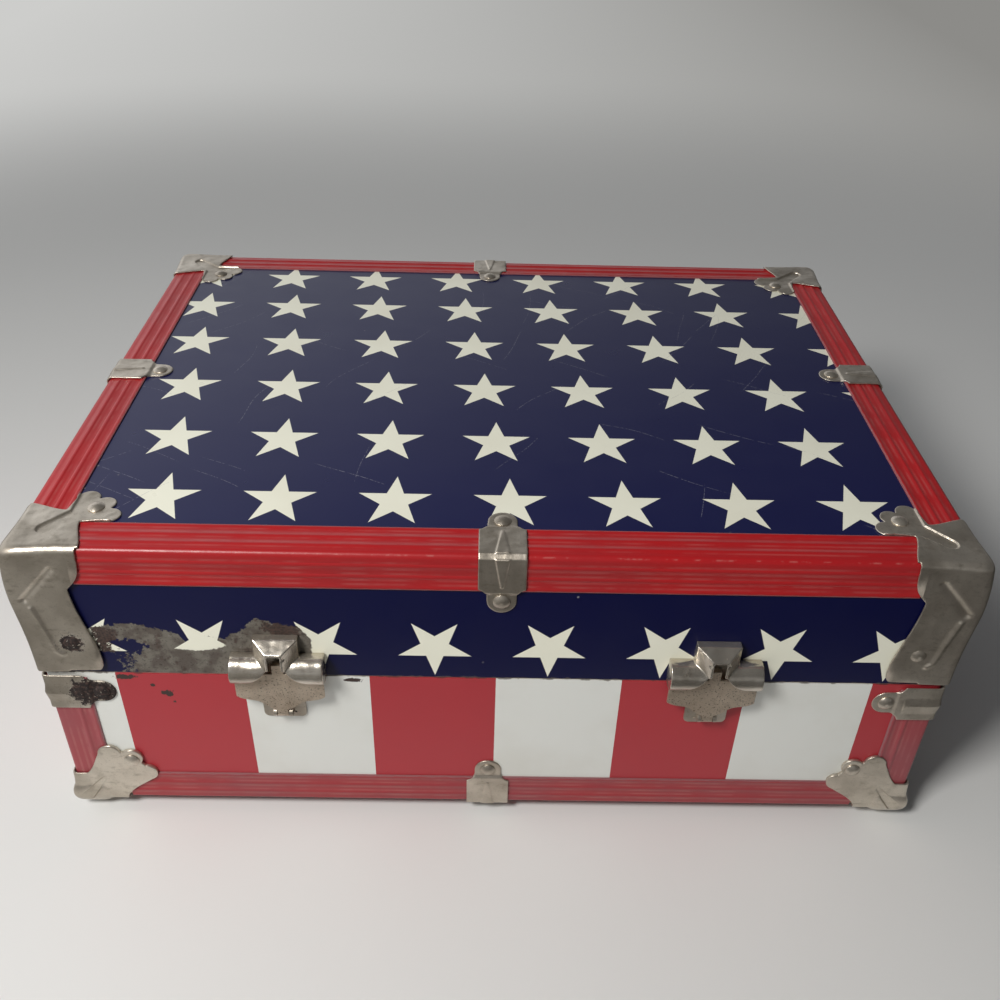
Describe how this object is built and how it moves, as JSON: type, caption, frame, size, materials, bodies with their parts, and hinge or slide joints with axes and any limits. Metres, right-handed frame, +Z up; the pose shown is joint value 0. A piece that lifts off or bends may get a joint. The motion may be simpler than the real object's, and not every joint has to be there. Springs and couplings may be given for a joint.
{
  "type": "tin trunk",
  "caption": "Small rectangular tin-covered trunk with a hinged lid, fluted edge bindings, pressed corner caps, front hasps and end handles.",
  "frame": {"origin": "on the floor, under the middle of the closed trunk", "axes": "+Z up, -Y towards the front with the hasps, +X to the right seen from the front, along the longest side"},
  "size_m": [0.426, 0.3251, 0.1647],
  "materials": {
    "board": "raw",
    "base_tin": "gloss, red and white stripes, worn",
    "lid_tin": "gloss navy with cream stars, worn",
    "binding": "gloss red enamel, worn",
    "rim": "dull tinned",
    "rivet": "dull, pitted",
    "fitting": "aged nickel plate"
  },
  "bodies": {
    "base": {"base_board_front": "board", "base_board_back": "board", "base_board_left": "board", "base_board_right": "board", "base_board_bottom": "board", "base_skin": "base_tin", "base_skin_bottom": "base_tin", "base_rim_front": "rim", "base_rim_back": "rim", "base_rim_left": "rim", "base_rim_right": "rim", "base_binding_front": "binding", "base_binding_back": "binding", "base_binding_left": "binding", "base_binding_right": "binding", "base_upright_front_left": "binding", "base_upright_front_right": "binding", "base_upright_back_left": "binding", "base_upright_back_right": "binding", "base_cap_front_left": "fitting", "base_cap_front_right": "fitting", "base_cap_back_left": "fitting", "base_cap_back_right": "fitting", "base_edge_clamps": "fitting", "base_corner_clamps": "fitting", "base_rivets": "rivet", "latch_plate_left": "fitting", "latch_plate_right": "fitting", "hinge_base_left": "fitting", "hinge_base_right": "fitting", "handle_eyes_left": "fitting", "handle_eyes_right": "fitting"},
    "lid": {"lid_board_front": "board", "lid_board_back": "board", "lid_board_left": "board", "lid_board_right": "board", "lid_board_top": "board", "lid_skin": "lid_tin", "lid_skin_top": "lid_tin", "lid_binding_front": "binding", "lid_binding_back": "binding", "lid_binding_left": "binding", "lid_binding_right": "binding", "lid_cap_front_left": "fitting", "lid_cap_front_right": "fitting", "lid_cap_back_left": "fitting", "lid_cap_back_right": "fitting", "lid_edge_clamps": "fitting", "lid_rivets": "rivet", "latch_catch_left": "fitting", "latch_catch_right": "fitting", "hinge_lid_left": "fitting", "hinge_lid_right": "fitting"},
    "hasp_left": {"latch_hasp_left": "fitting"},
    "hasp_right": {"latch_hasp_right": "fitting"},
    "handle_left": {"handle_left": "fitting"},
    "handle_right": {"handle_right": "fitting"}
  },
  "joints": [
    {"name": "lid_hinge", "type": "hinge", "parent": "base", "child": "lid", "pos_m": [0, 0.1556, 0.0923], "axis": [-1, 0, 0], "range_deg": [0, 105]},
    {"name": "hasp_left_turn", "type": "hinge", "parent": "base", "child": "hasp_left", "pos_m": [-0.0968, -0.1559, 0.0727], "axis": [1, 0, 0], "range_deg": [0, 180]},
    {"name": "hasp_right_turn", "type": "hinge", "parent": "base", "child": "hasp_right", "pos_m": [0.0968, -0.1559, 0.0727], "axis": [1, 0, 0], "range_deg": [0, 180]},
    {"name": "handle_left_swing", "type": "hinge", "parent": "base", "child": "handle_left", "pos_m": [-0.2088, 0, 0.0622], "axis": [0, 1, 0], "range_deg": [-2, 180]},
    {"name": "handle_right_swing", "type": "hinge", "parent": "base", "child": "handle_right", "pos_m": [0.2088, 0, 0.0622], "axis": [0, -1, 0], "range_deg": [-2, 180]}
  ]
}
